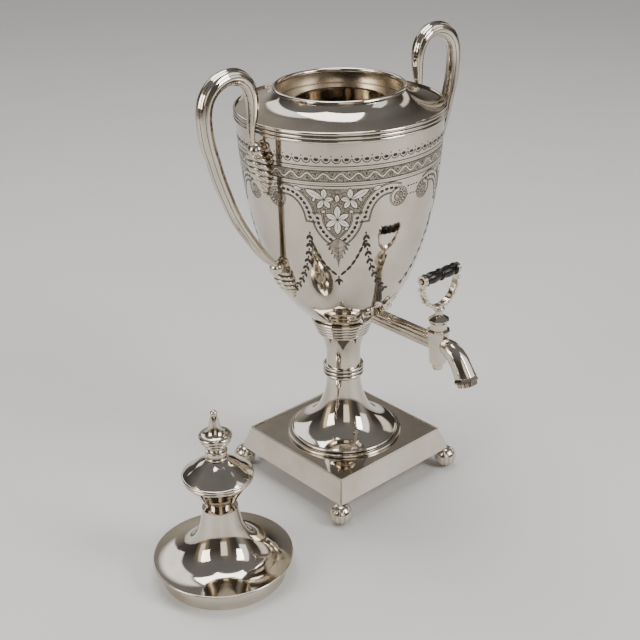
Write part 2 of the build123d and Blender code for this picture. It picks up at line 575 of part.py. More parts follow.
knob_radius = 2.9
knob_z = spike_top_z - knob_radius
spike_side = [(12.0, 127.3), (9.0, 127.9), (6.8, 129.6), (5.2, 132.6), (4.1, 136.6), (3.2, 140.6),
              (2.3, knob_z - math.sqrt(knob_radius ** 2 - 2.3 ** 2))]
spike = turned(
    ("line", (0, collar_ring_top_z), (8.0, collar_ring_top_z)),
    ("arc", (8.0, collar_ring_top_z), (9.2, 118.5), (8.6, 119.9)),
    ("curve", (8.6, 119.9), (9.8, 120.6), (10.6, 121.4)),
    ("arc", (10.6, 121.4), (12.0, 122.4), (11.4, 123.8)),
    ("arc", (11.4, 123.8), (13.0, 125.5), (12.0, 127.3)),
    ("curve", *spike_side),
    ("arc", spike_side[-1], (knob_radius, knob_z), (0, spike_top_z)),
)
rod_top_z = 127.0
spike -= Pos(0, 0, (collar_ring_top_z - 1 + rod_top_z) / 2) * Cylinder(lid_rod_radius, rod_top_z - collar_ring_top_z + 1)
save("finial_spike", at_lid * spike)

lid_washer_z = lid_neck_top_z - wall - 1.0
lid_nut_z = lid_washer_z - 3.6
save("lid_washer", at_lid * ring(lid_rod_radius, 6.5, lid_washer_z, lid_neck_top_z - wall))
save("lid_nut", at_lid * hex_nut(8.0, lid_rod_radius, lid_nut_z, lid_washer_z))
save("lid_rod", at_lid * (Pos(0, 0, (lid_nut_z - 1.5 + rod_top_z) / 2) * Cylinder(lid_rod_radius, rod_top_z - lid_nut_z + 1.5)))
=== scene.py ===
import math
import bpy
import bmesh
import numpy as np
from mathutils import Matrix, Vector, geometry
from mathutils.bvhtree import BVHTree


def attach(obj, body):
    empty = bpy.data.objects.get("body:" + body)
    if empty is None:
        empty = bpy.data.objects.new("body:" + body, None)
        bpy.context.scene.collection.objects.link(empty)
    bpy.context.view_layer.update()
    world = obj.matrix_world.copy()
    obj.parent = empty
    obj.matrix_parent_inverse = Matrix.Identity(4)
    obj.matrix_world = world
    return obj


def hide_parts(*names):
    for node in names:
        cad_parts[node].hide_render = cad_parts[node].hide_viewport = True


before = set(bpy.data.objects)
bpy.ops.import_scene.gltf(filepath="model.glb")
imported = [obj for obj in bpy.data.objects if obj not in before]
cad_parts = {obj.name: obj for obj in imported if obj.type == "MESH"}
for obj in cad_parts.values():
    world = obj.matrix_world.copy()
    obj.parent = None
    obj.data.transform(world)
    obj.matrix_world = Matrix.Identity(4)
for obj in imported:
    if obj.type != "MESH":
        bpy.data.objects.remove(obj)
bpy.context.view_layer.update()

mm = 0.001


# Camera, standing where the photographer stood
camera_azimuth = math.radians(-42.81)
camera_yaw = math.radians(1.25)
camera_pitch = math.radians(26.05)
camera_roll = math.radians(-1.36)
camera_distance = 905.2 * mm
camera_height = 589.5 * mm
lens_mm = 65.46


def stand_camera():
    place = Vector((camera_distance * math.sin(camera_azimuth), -camera_distance * math.cos(camera_azimuth),
                    camera_height))
    heading = camera_azimuth + camera_yaw
    ahead = Vector((-math.sin(heading) * math.cos(camera_pitch), math.cos(heading) * math.cos(camera_pitch),
                    -math.sin(camera_pitch)))
    right = ahead.cross(Vector((0, 0, 1))).normalized()
    up = right.cross(ahead)
    tilted_right = right * math.cos(camera_roll) + up * math.sin(camera_roll)
    tilted_up = up * math.cos(camera_roll) - right * math.sin(camera_roll)
    turn = Matrix((tilted_right, tilted_up, -ahead)).transposed().to_4x4()
    lens = bpy.data.cameras.new("studio_camera")
    lens.sensor_width = 36.0
    lens.lens = lens_mm
    lens.clip_start = 0.01
    camera = bpy.data.objects.new("studio_camera", lens)
    camera.matrix_world = Matrix.Translation(place) @ turn
    bpy.context.scene.collection.objects.link(camera)
    bpy.context.scene.camera = camera


stand_camera()


# Finishes
class Channel:
    """One output of a finish's nodes, which takes part in plain arithmetic."""

    def __init__(self, finish, socket):
        self.finish = finish
        self.socket = socket

    def maths(self, operation, first, second):
        return self.finish.node("ShaderNodeMath", {"operation": operation}, {0: first, 1: second})

    def __add__(self, other):
        return self.maths("ADD", self, other)

    def __radd__(self, other):
        return self.maths("ADD", other, self)

    def __sub__(self, other):
        return self.maths("SUBTRACT", self, other)

    def __mul__(self, other):
        return self.maths("MULTIPLY", self, other)

    def __truediv__(self, other):
        return self.maths("DIVIDE", self, other)


class Finish:
    """A material, or the studio's light, built up from nodes."""

    def __init__(self, name, holder=None):
        self.holder = holder or bpy.data.materials.new(name)
        self.holder.use_nodes = True
        self.tree = self.holder.node_tree
        self.tree.nodes.clear()

    def node(self, kind, settings=None, inputs=None, out=0):
        node = self.tree.nodes.new(kind)
        for key, value in (settings or {}).items():
            if key == "stops":
                ramp = node.color_ramp
                while len(ramp.elements) < len(value):
                    ramp.elements.new(0.5)
                for stop, (place, tone) in zip(ramp.elements, value):
                    stop.position = place
                    stop.color = (*tone, 1.0)
            else:
                setattr(node, key, value)
        for key, value in (inputs or {}).items():
            if isinstance(value, Channel):
                self.tree.links.new(value.socket, node.inputs[key])
            else:
                node.inputs[key].default_value = value
        return Channel(self, node.outputs[out]) if len(node.outputs) else None

    def place(self, kind="Object"):
        return self.node("ShaderNodeTexCoord", out=kind)

    def noise(self, scale, detail=3.0, rough=0.5, stretch=None):
        where = self.place()
        if stretch:
            where = self.node("ShaderNodeMapping", None, {"Vector": where, "Scale": stretch})
        return self.node("ShaderNodeTexNoise", None,
                         {"Vector": where, "Scale": scale, "Detail": detail, "Roughness": rough})

    def blend(self, share, first, second):
        return self.node("ShaderNodeMix", {"data_type": "RGBA"}, {0: share, 6: first, 7: second}, out=2)

    def between(self, value, low, high, start=0.0, end=1.0):
        return self.node("ShaderNodeMapRange", {"clamp": True},
                         {0: value, 1: low, 2: high, 3: start, 4: end})

    def bump(self, height, strength, distance):
        return self.node("ShaderNodeBump", None,
                         {"Height": height, "Strength": strength, "Distance": distance})

    def surface(self, **sockets):
        named = {key.replace("_", " "): value for key, value in sockets.items()}
        shader = self.node("ShaderNodeBsdfPrincipled", None, named)
        self.node("ShaderNodeOutputMaterial", None, {0: shader})
        return self.holder


# Painted shade and patina: the dark brown that the silver's recesses are darkened to.
patina_shade_brown = (0.075, 0.06, 0.045, 1.0)


def silver(name, tone, dull, gloss, recess_mm=2.2, patina_shade_share=0.85, cloudy=0.05):
    """Plated silver: rubbed bright where a cloth reaches; its recesses, found by ambient occlusion, darkened
    to brown, partly as patina and partly as painted shade.
    """
    f = Finish(name)
    cloud = f.noise(28.0, 3.0, 0.55)
    film = f.noise(170.0, 4.0, 0.6)
    wipes = f.noise(900.0, 2.0, 0.5, stretch=(1.0, 1.0, 0.06))
    # Ambient occlusion finds the recesses, and the mask below darkens them: partly patina, partly painted
    # shade.
    occlusion_shade = f.node("ShaderNodeAmbientOcclusion", {"only_local": True, "samples": 8},
                     {"Distance": recess_mm * mm}, out=1)
    patina_shade_mask = f.between(occlusion_shade + (film - 0.5) * 0.16, 0.46, 0.86, patina_shade_share, 0.0)
    bright = f.blend(f.between(cloud, 0.35, 0.7), (*tone, 1.0), (*dull, 1.0))
    colour = f.blend(patina_shade_mask, bright, patina_shade_brown)
    clouded = gloss + f.between(cloud, 0.35, 0.75) * cloudy
    rough = clouded + f.between(film, 0.55, 0.8) * 0.03 + patina_shade_mask * 0.28
    return f.surface(Base_Color=colour, Metallic=1.0, Roughness=rough,
                     Normal=f.bump(wipes, 0.05, 0.02 * mm))


plate = silver("polished_plate", (0.67, 0.615, 0.535), (0.55, 0.495, 0.415), 0.04)
cast_plate = silver("cast_plate", (0.74, 0.68, 0.59), (0.58, 0.52, 0.43), 0.09,
                    recess_mm=3.2, patina_shade_share=0.97)
neck_plate = silver("tarnished_neck", (0.62, 0.545, 0.44), (0.41, 0.35, 0.275), 0.2,
                    patina_shade_share=0.7, cloudy=0.2)


def brass_finish():
    f = Finish("old_brass")
    film = f.noise(120.0, 4.0, 0.6)
    colour = f.blend(f.between(film, 0.4, 0.7), (0.72, 0.52, 0.24, 1.0), (0.42, 0.29, 0.13, 1.0))
    return f.surface(Base_Color=colour, Metallic=1.0, Roughness=0.22 + film * 0.2,
                     Normal=f.bump(f.noise(700.0, 2.0), 0.08, 0.03 * mm))


def ebonised_finish():
    f = Finish("ebonised_wood")
    grain = f.noise(240.0, 5.0, 0.65, stretch=(0.12, 1.0, 1.0))
    wear = f.noise(60.0, 3.0, 0.5)
    colour = f.blend(f.between(grain, 0.45, 0.75), (0.006, 0.005, 0.005, 1.0), (0.022, 0.015, 0.011, 1.0))
    colour = f.blend(f.between(wear, 0.62, 0.8, 0.0, 0.2), colour, (0.06, 0.035, 0.02, 1.0))
    return f.surface(Base_Color=colour, Metallic=0.0, Roughness=0.2 + f.between(grain, 0.4, 0.8) * 0.12,
                     Normal=f.bump(grain, 0.08, 0.04 * mm), Coat_Weight=0.15, Coat_Roughness=0.12,
                     Specular_IOR_Level=0.3)


def cut_line_finish():
    f = Finish("oxidised_cut")
    film = f.noise(300.0, 3.0, 0.6)
    colour = f.blend(f.between(film, 0.4, 0.7), (0.022, 0.018, 0.015, 1.0), (0.065, 0.05, 0.038, 1.0))
    return f.surface(Base_Color=colour, Metallic=0.35, Roughness=0.42 + film * 0.2)


def stippled_finish():
    f = Finish("stippled_plate")
    pits = f.node("ShaderNodeTexVoronoi", {"feature": "F1"}, {"Vector": f.place(), "Scale": 1050.0})
    film = f.noise(160.0, 4.0, 0.6)
    pit = f.between(pits, 0.34, 0.50, 1.0, 0.0)
    ground = f.blend(f.between(film, 0.35, 0.7), (0.42, 0.38, 0.31, 1.0), (0.26, 0.225, 0.175, 1.0))
    colour = f.blend(pit * 0.88, ground, (0.035, 0.03, 0.024, 1.0))
    return f.surface(Base_Color=colour, Metallic=0.9, Roughness=0.3 + pit * 0.25,
                     Normal=f.bump(pits, 0.35, 0.12 * mm))


def chased_finish():
    f = Finish("chased_plate")
    grain = f.noise(420.0, 4.0, 0.6, stretch=(1.0, 1.0, 0.4))
    colour = f.blend(f.between(grain, 0.35, 0.68), (0.52, 0.47, 0.39, 1.0), (0.20, 0.17, 0.13, 1.0))
    return f.surface(Base_Color=colour, Metallic=0.95, Roughness=0.28 + grain * 0.15,
                     Normal=f.bump(grain, 0.3, 0.1 * mm))


def bright_cut_finish():
    f = Finish("bright_cut")
    film = f.noise(260.0, 3.0, 0.6)
    colour = f.blend(f.between(film, 0.4, 0.7), (0.93, 0.875, 0.78, 1.0), (0.78, 0.72, 0.62, 1.0))
    return f.surface(Base_Color=colour, Metallic=1.0, Roughness=0.17 + film * 0.12,
                     Normal=f.bump(film, 0.12, 0.05 * mm))


cut_line = cut_line_finish()
stippled = stippled_finish()
chased = chased_finish()
bright_cut = bright_cut_finish()
old_brass = brass_finish()
ebonised = ebonised_finish()
brass_nodes = ("grip_pin", "rod_nut", "rod_washer", "seal_nut", "seal_washer", "lid_nut", "lid_washer",
               "plug_washer")
cast_nodes = ("mount_", "foot_", "key_yoke", "tap_escutcheon")
for node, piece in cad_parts.items():
    finish = plate
    if node == "key_grip":
        finish = ebonised
    elif node in brass_nodes:
        finish = old_brass
    elif node.startswith(cast_nodes):
        finish = cast_plate
    elif node == "neck_seat":
        finish = neck_plate
    for slot in piece.material_slots:
        slot.material = finish


# Soft curves and the making of a piece from its mesh
def soft_between(a, b, c, d, t):
    """The value at a share t of the way from b to c, with a before them and d after them."""
    return 0.5 * (2 * b + (c - a) * t + (2 * a - 5 * b + 4 * c - d) * t * t
                  + (3 * b - a - 3 * c + d) * t ** 3)


def soft_curve(line, steps):
    """Points along a soft curve through the line's points, with steps to each stretch and no last point."""
    ends = [line[0], *line, line[-1]]
    return [tuple(soft_between(*values, i / steps) for values in zip(*near))
            for near in zip(ends, ends[1:], ends[2:], ends[3:]) for i in range(steps)]


def new_piece(name, shape, finish):
    """The shape as a piece of the scene, in one finish."""
    mesh = bpy.data.meshes.new(name)
    shape.to_mesh(mesh)
    shape.free()
    mesh.materials.append(finish)
    piece = bpy.data.objects.new(name, mesh)
    bpy.context.scene.collection.objects.link(piece)
    return piece


def made_piece(name, shape, finish, slot, body, *nodes):
    """The shape as a smooth piece of the scene, riding on its body and standing for its nodes."""
    for face in shape.faces:
        face.smooth = True
    bmesh.ops.recalc_face_normals(shape, faces=shape.faces)
    piece = new_piece(name, shape, finish)
    piece.data.set_sharp_from_angle(angle=math.radians(40))
    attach(piece, body)
    if nodes:
        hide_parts(*nodes)


# Engraving on the bowl, drawn as (degrees from a panel's middle, height in mm) and laid on the metal
panel_middles = (45.0, 135.0, 225.0, 315.0)
panel_half = 45.0
ground_proud = 0.035
line_proud = 0.06
petal_proud = 0.085
vein_proud = 0.11
wall_low_z = 158.0
wall_high_z = 327.0
wall_samples = 90
plain_bearing = 20.0
outside_the_bowl = 150 * mm
upper_bowl_degree = 1.38


class BowlWall:
    """Where the bowl's outside is, at any bearing and height."""

    def __init__(self, bowl):
        self.wall = BVHTree.FromObject(bowl, bpy.context.evaluated_depsgraph_get())
        self.heights = np.linspace(wall_low_z, wall_high_z, wall_samples)
        self.radii = np.array([self.reach(plain_bearing, z) for z in self.heights])

    def reach(self, bearing, z):
        turn = math.radians(bearing)
        away = Vector((math.cos(turn), math.sin(turn), 0))
        hit = self.wall.ray_cast(away * outside_the_bowl + Vector((0, 0, z * mm)), -away)[0]
        return math.hypot(hit.x, hit.y) / mm

    def radius(self, z):
        return float(np.interp(z, self.heights, self.radii))

    def degree(self, z):
        """Length of one degree round the bowl, in mm."""
        return self.radius(z) * math.pi / 180

    def lean(self, z):
        """Height gained for each mm along the wall."""
        run = self.radius(z + 1) - self.radius(z - 1)
        return 2 / math.hypot(2, run)

    def walk(self, spot, across, up):
        """The spot moved by mm across and mm up the wall."""
        return (spot[0] + across / self.degree(spot[1]), spot[1] + up * self.lean(spot[1]))

    def apart(self, a, b):
        """Mm across and mm up from a to b."""
        z = (a[1] + b[1]) / 2
        return (b[0] - a[0]) * self.degree(z), (b[1] - a[1]) / self.lean(z)

    def point(self, bearing, z, proud):
        turn = math.radians(bearing)
        r = (self.reach(bearing, z) + proud) * mm
        return r * math.cos(turn), r * math.sin(turn), z * mm


wall = BowlWall(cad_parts["bowl"])


def smooth_line(line, pitch):
    """Points a pitch apart in mm along a soft curve through the line's points."""
    spots = [*soft_curve(line, 12), line[-1]]
    lengths = [0.0]
    for a, b in zip(spots, spots[1:]):
        lengths.append(lengths[-1] + math.hypot(*wall.apart(a, b)))
    count = max(2, round(lengths[-1] / pitch) + 1)
    wanted = np.linspace(0, lengths[-1], count)
    return list(zip(np.interp(wanted, lengths, [s[0] for s in spots]),
                    np.interp(wanted, lengths, [s[1] for s in spots])))


def shifted(line, distance, closed=False):
    """The line moved to the left of the way it runs, with mitred corners."""
    moved = []
    count = len(line)
    for i, spot in enumerate(line):
        before = line[i - 1] if i or closed else None
        after = line[(i + 1) % count] if i < count - 1 or closed else None
        ways = []
        for a, b in ((before, spot), (spot, after)):
            if a is not None and b is not None:
                across, up = wall.apart(a, b)
                length = math.hypot(across, up) or 1.0
                ways.append((-up / length, across / length))
        normal = (sum(w[0] for w in ways), sum(w[1] for w in ways))
        size = math.hypot(*normal) or 1.0
        normal = (normal[0] / size, normal[1] / size)
        share = max(0.5, normal[0] * ways[0][0] + normal[1] * ways[0][1])
        moved.append(wall.walk(spot, normal[0] * distance / share, normal[1] * distance / share))
    return moved


def flipped(outline):
    return [(-a, z) for a, z in reversed(outline)]


def leaf_outline(root, heading, length, width, belly=0.5, points=9):
    """A pointed leaf from its root, heading in degrees from straight along the wall to the right."""
    turn = math.radians(heading)
    outline = []
    for side, steps in ((1, range(points + 1)), (-1, range(points - 1, 0, -1))):
        for i in steps:
            t = i / points
            half = width / 2 * math.sin(math.pi * t ** (math.log(0.5) / math.log(belly))) ** 0.8 * side
            along = t * length
            outline.append(wall.walk(root, along * math.cos(turn) - half * math.sin(turn),
                                     along * math.sin(turn) + half * math.cos(turn)))
    return outline


def oval_outline(middle, heading, length, width, points=12):
    turn = math.radians(heading)
    outline = []
    for i in range(points):
        a = 2 * math.pi * i / points
        along, side = length / 2 * math.cos(a), width / 2 * math.sin(a)
        outline.append(wall.walk(middle, along * math.cos(turn) - side * math.sin(turn),
                                 along * math.sin(turn) + side * math.cos(turn)))
    return outline


class Cut:
    """One kind of cut or chased mark, gathered for a panel and laid on all four."""

    def __init__(self, name, finish, proud):
        self.name, self.finish, self.proud = name, finish, proud
        self.spots, self.faces = [], []

    def fan(self, outline):
        """A shape with no hollow in its outline."""
        middle = (sum(a for a, _ in outline) / len(outline), sum(z for _, z in outline) / len(outline))
        start = len(self.spots)
        self.spots += [middle, *outline]
        count = len(outline)
        self.faces += [(start, start + 1 + i, start + 1 + (i + 1) % count) for i in range(count)]

    def ribbon(self, line, width, closed=False):
        """A line of even width."""
        left, right = shifted(line, width / 2, closed), shifted(line, -width / 2, closed)
        start = len(self.spots)
        for a, b in zip(left, right):
            self.spots += [a, b]
        count = len(line)
        for i in range(count if closed else count - 1):
            j = (i + 1) % count
            self.faces.append((start + 2 * i, start + 2 * j, start + 2 * j + 1, start + 2 * i + 1))

    def spread(self, outline, pitch=1.6):
        """A ground of any outline, in small triangles that follow the wall."""
        rim = [Vector((a * upper_bowl_degree, z)) for a, z in outline]
        inside = []
        low_a, high_a = min(p.x for p in rim), max(p.x for p in rim)
        low_z, high_z = min(p.y for p in rim), max(p.y for p in rim)
        rim_array = np.array([tuple(p) for p in rim])
        for x in np.arange(low_a + pitch / 2, high_a, pitch):
            for y in np.arange(low_z + pitch / 2, high_z, pitch):
                if np.hypot(*(rim_array - (x, y)).T).min() > pitch * 0.45:
                    inside.append(Vector((x, y)))
        border = [list(range(len(rim)))]
        spots, _, faces, *_ = geometry.delaunay_2d_cdt(rim + inside, [], border, 1, 1e-4)
        start = len(self.spots)
        self.spots += [(p.x / upper_bowl_degree, p.y) for p in spots]
        self.faces += [tuple(start + i for i in face) for face in faces]

    def lay(self, middles=panel_middles):
        """The marks as one piece, on the metal of every panel that has one of the middles."""
        shape = bmesh.new()
        for middle in middles:
            laid = [shape.verts.new(wall.point(middle + a, z, self.proud)) for a, z in self.spots]
            for face in self.faces:
                if len(set(face)) == len(face):
                    shape.faces.new([laid[i] for i in face])
        for face in shape.faces:
            face.smooth = True
            centre = face.calc_center_median()
            face.normal_update()
            if face.normal.dot(Vector((centre.x, centre.y, 0))) < 0:
                face.normal_flip()
        piece = new_piece(self.name, shape, self.finish)
        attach(piece, "urn")


def both_sides(cut, outline):
    cut.fan(outline)
    cut.fan(flipped(outline))


def run_of(z, pitch=1.2, start=-panel_half, end=panel_half):
    """Points round the bowl at one height."""
    count = round((end - start) * wall.degree(z) / pitch)
    return [(start + (end - start) * i / count, z) for i in range(count + 1)]


def headings(line, step=1):
    """The line's inner points, each with the heading of the line there in degrees."""
    for before, spot, after in zip(line[::step], line[1::step], line[2::step]):
        across, up = wall.apart(before, after)
        yield spot, math.degrees(math.atan2(up, across))


# Border of scallops, two polished rules and the stippled band with its wave
scallops_to_a_panel = 17
scallop_z = 318.4
scallop_reach = 3.35
scallop_depth = 3.3
scallop_lift = 0.6
scallop_width = 0.75
border_dot = (4.0, 2.5)
border_pip = (1.2, 1.2, 8)
border_pip_rise = 2.6
upper_rule_z = (313.0, 309.6)
lower_rule_z = (300.8, 297.4)
rule_width = 0.75
hairline_width = 0.2
band_z = (309.2, 301.2)
band_rows = 6
band_pitch = 1.8
waves_to_a_panel = 10
wave_height = 2.2
wave_width = 0.85
wave_edge_width = 1.5
fleck = (1.5, 1.1, 8)
fleck_rise = 1.5

scallops = Cut("scallop_border", cut_line, line_proud)
border_dots = Cut("border_dots", cut_line, line_proud)
scallop_pitch = 2 * panel_half / scallops_to_a_panel
for i in range(scallops_to_a_panel):
    middle = (-panel_half + scallop_pitch * (i + 0.5), scallop_z)
    arc = []
    for t in range(180, 361, 15):
        across, up = scallop_reach * math.cos(math.radians(t)), scallop_depth * math.sin(math.radians(t))
        arc.append(wall.walk(middle, across, up + scallop_lift))
    scallops.ribbon(arc, scallop_width)
    border_dots.fan(oval_outline(middle, 0, *border_dot))
    pip = (middle[0] + scallop_pitch / 2, scallop_z + border_pip_rise)
    border_dots.fan(oval_outline(pip, 0, *border_pip))

rules = Cut("engraved_rules", cut_line, line_proud)
for z in (*upper_rule_z, *lower_rule_z):
    rules.ribbon(run_of(z), rule_width)
for z in (sum(upper_rule_z) / 2, sum(lower_rule_z) / 2):
    rules.ribbon(run_of(z), hairline_width)

band = Cut("stippled_band", stippled, ground_proud)
for i in range(band_rows):
    high, low = (band_z[0] + (band_z[1] - band_z[0]) * (i + k) / band_rows for k in (0, 1))
    top = run_of(high, band_pitch)
    start = len(band.spots)
    for a, _ in top:
        band.spots += [(a, high), (a, low)]
    band.faces += [(start + 2 * j, start + 2 * j + 2, start + 2 * j + 3, start + 2 * j + 1)
                   for j in range(len(top) - 1)]

wave = Cut("band_wave", bright_cut, vein_proud)
wave_edge = Cut("band_wave_edge", cut_line, petal_proud)
band_dots = Cut("band_flecks", cut_line, line_proud)
band_middle = sum(band_z) / 2
wave_line = []
for a in np.arange(-panel_half, panel_half + 0.01, 0.45):
    turn = math.radians(a * 360 * waves_to_a_panel / (2 * panel_half))
    wave_line.append((a, band_middle + wave_height * math.sin(turn)))
wave.ribbon(wave_line, wave_width)
wave_edge.ribbon(wave_line, wave_edge_width)
for i in range(2 * waves_to_a_panel):
    side = -1 if i % 2 == 0 else 1
    across = -panel_half + 2 * panel_half / waves_to_a_panel * (i / 2 + 0.25)
    band_dots.fan(oval_outline((across, band_middle + side * fleck_rise), 0, *fleck))

# Strapwork: two straps that fall from volutes to a point, with a square step on the way
strap_line = [(-36.0, 289.8), (-31.8, 291.8), (-28.2, 291.8), (-25.0, 290.7), (-22.3, 288.6), (-20.1, 285.8),
              (-18.4, 282.6), (-17.1, 279.0), (-16.1, 275.0), (-15.5, 270.8), (-11.2, 270.4), (-10.8, 266.4),
              (-9.7, 262.2), (-8.2, 258.6), (-6.2, 255.0), (-4.0, 252.0), (-1.6, 249.8)]
strap_parts = (strap_line[:10], strap_line[9:11], strap_line[10:])
strap_outside = (4.7, 3.7)
strap_inside = (-4.3, -3.4)
strap_width = 0.65
strap_dot = (3.4, 2.5)
strap_dot_pitch = 4.0
volute_middle = (-35.5, 284.0)
volute_radius = 8.0
volute_rings = (volute_radius, volute_radius - 1.1, 4.0)
volute_ring_width = 0.6
volute_core = (7.8, 7.8, 24)
volute_dot = (2.0, 1.6, 10)
volute_dot_radius = 5.5
link_dot = (1.9, 1.3, 10)
link_rises = (6.5, -0.5)
link_steps = (1.6, 4.6)


def stepped_strap(pitch):
    """The strap's line, soft on both sides of its square step."""
    upper, step, lower = (smooth_line(part, pitch) for part in strap_parts)
    return upper + step[1:-1] + lower


strap_edges = Cut("strapwork_lines", cut_line, line_proud)
strap_dots = Cut("strapwork_dots", cut_line, line_proud)
strap = stepped_strap(0.9)
for offset in (*strap_outside, *strap_inside):
    line = [(a, z) for a, z in shifted(strap, offset) if a < 0.0 and z < lower_rule_z[1]
            and math.hypot(*wall.apart(volute_middle, (a, z))) > volute_radius]
    strap_edges.ribbon(line, strap_width)
    strap_edges.ribbon(flipped(line), strap_width)
dot_line = [spot for part in strap_parts for spot in smooth_line(part, strap_dot_pitch)]
dot_line = [spot for i, spot in enumerate(dot_line)
            if i == 0 or math.hypot(*wall.apart(dot_line[i - 1], spot)) > 1.5]
for spot, heading in headings(dot_line):
    both_sides(strap_dots, oval_outline(spot, heading, *strap_dot))

roundels = Cut("volute_roundels", stippled, ground_proud)
for side in (-1, 1):
    middle = (side * abs(volute_middle[0]), volute_middle[1])
    for radius in volute_rings:
        ring = oval_outline(middle, 0, 2 * radius, 2 * radius, 40)
        strap_edges.ribbon(ring, volute_ring_width, closed=True)
    roundels.fan(oval_outline(middle, 0, *volute_core))
    for t in range(100, 331, 26):
        turn = math.radians(t if side < 0 else 180 - t)
        spot = wall.walk(middle, volute_dot_radius * math.cos(turn), volute_dot_radius * math.sin(turn))
        strap_dots.fan(oval_outline(spot, math.degrees(turn) + 90, *volute_dot))
    for rise in link_rises:
        for along in link_steps:
            spot = wall.walk((side * panel_half, volute_middle[1] + rise), -side * along, 0.0)
            strap_dots.fan(oval_outline(spot, 0, *link_dot))

# Stippled ground between the straps, with its leaf flowers
ground_from = -26.0
leaf_belly = 0.55
leaf_rim = (1.1, 1.4)
leaf_vein_width = 0.32
upper_flower = ((88, 8.6, 4.2), (4, 7.0, 3.6), (-58, 8.0, 3.8), (-124, 8.8, 4.0), (152, 15.5, 5.2))
lower_flower = ((90, 11.5, 4.6, False), (-90, 12.5, 4.8, False), (28, 9.4, 4.2, True), (-34, 10.4, 4.4, True))
small_leaves = (((-13.8, 283.6), 60, 4.4), ((-9.4, 275.4), 20, 3.8), ((-6.6, 262.6), -20, 3.6))

ground = Cut("stippled_ground", stippled, ground_proud)
edge = [(a, z) for a, z in shifted(stepped_strap(1.4), strap_outside[0])
        if a < -0.4 and z < lower_rule_z[1] - 0.6]
first = max(i for i, (a, z) in enumerate(edge) if a < ground_from)
edge = edge[first:]
top = run_of(lower_rule_z[1] - 0.3, 1.6, -edge[0][0], edge[0][0])
ground.spread([*edge, *flipped(edge), *top[1:-1]])
leaf_edges = Cut("leaf_outlines", cut_line, line_proud)
leaves = Cut("leaf_flowers", bright_cut, petal_proud)
leaf_veins = Cut("leaf_veins", cut_line, vein_proud)


def leaf(root, heading, length, width, both=True):
    """A leaf with its dark edge and vein, and its twin on the panel's other side."""
    for side in (1, -1) if both else (1,):
        spot = (root[0] * side, root[1])
        way = heading if side > 0 else 180 - heading
        turn = math.radians(way)
        start = wall.walk(spot, 0.5 * math.cos(turn), 0.5 * math.sin(turn))
        leaf_edges.fan(leaf_outline(spot, way, length + leaf_rim[0], width + leaf_rim[1], leaf_belly))
        leaves.fan(leaf_outline(start, way, length - 0.3, width, leaf_belly))
        tip = wall.walk(spot, length * 0.72 * math.cos(turn), length * 0.72 * math.sin(turn))
        leaf_veins.ribbon(smooth_line([spot, tip], 1.2), leaf_vein_width)


for heading, length, width in upper_flower:
    leaf((-7.2, 286.4), heading, length, width)
for heading, length, width, both in lower_flower:
    leaf((0.0, 269.6), heading, length, width, both)
leaf((0.0, 283.6), 90, 6.6, 3.2, False)
leaf((-19.0, 293.2), 168, 7.0, 2.6)
for root, heading, length in small_leaves:
    leaf(root, heading, length, 2.0)

# Acanthus pendant, garlands of husks and swags of long beads
acanthus_half = [(0, 253.0), (-2.6, 251.0), (-4.2, 248.8), (-6.4, 246.6), (-4.4, 245.6), (-5.4, 242.4),
                 (-3.2, 242.6), (-4.0, 238.6), (-2.1, 239.4), (-2.6, 235.4), (-1.1, 235.4), (0, 226.5)]
acanthus_middle_z = 240.0
acanthus_rib = [(0, 251.5), (0, 229.0)]
acanthus_side_veins = (((0, 244.0), (-4.2, 246.4)), ((0, 239.8), (-3.4, 242.4)), ((0, 236.0), (-2.4, 238.6)),
                       ((0, 232.6), (-1.5, 235.2)))
garland_line = [(-16.0, 263.0), (-16.6, 255.5), (-17.4, 246.8), (-18.5, 238.6), (-20.2, 230.0),
                (-22.8, 221.4), (-26.0, 213.6), (-30.0, 206.6), (-35.0, 200.4), (-39.3, 195.8)]
garland_pitch = 8.0
husk_leaves = ((180, 2.8, 1.6), (27, 5.8, 2.5), (-27, 5.8, 2.5))
swag_line = [(-16.3, 250.8), (-15.0, 246.0), (-13.0, 239.4), (-10.2, 232.2), (-6.6, 225.4), (0.6, 216.6)]
swag_pitch = 3.3
swag_bead = (6.3, 2.4)
swag_drop = ((-90, 8.0, 2.4), (-128, 5.4, 1.9), (-52, 5.4, 1.9), (90, 2.6, 1.6))

acanthus_edge = Cut("acanthus_outline", cut_line, line_proud)
acanthus = Cut("acanthus_pendant", chased, petal_proud)
acanthus_veins = Cut("acanthus_veins", cut_line, vein_proud)
outline = acanthus_half + flipped(acanthus_half[1:-1])
grown = [(a * 1.16, acanthus_middle_z + (z - acanthus_middle_z) * 1.05) for a, z in outline]
acanthus_edge.spread(grown, 1.2)
acanthus.spread(outline, 1.2)
acanthus_veins.ribbon(smooth_line(acanthus_rib, 1.2), 0.4)
for root, tip in acanthus_side_veins:
    acanthus_veins.ribbon(smooth_line([root, tip], 1.0), 0.35)
    acanthus_veins.ribbon(smooth_line(flipped([root, tip]), 1.0), 0.35)
husks = Cut("husk_garlands", cut_line, line_proud)
for spot, heading in headings(smooth_line(garland_line, garland_pitch)):
    for turn, length, width in husk_leaves:
        both_sides(husks, leaf_outline(spot, heading + turn, length, width))
beads = Cut("bead_swags", cut_line, line_proud)
for spot, heading in headings(smooth_line(swag_line, swag_pitch), 2):
    both_sides(beads, oval_outline(spot, heading, *swag_bead))
for turn, length, width in swag_drop:
    husks.fan(leaf_outline((0.0, 215.6), turn, length, width))

for cut in (scallops, border_dots, rules, band, wave, wave_edge, band_dots, strap_edges, strap_dots,
            roundels, ground, leaf_edges, leaves, leaf_veins, acanthus_edge, acanthus, acanthus_veins, husks,
            beads):
    cut.lay()
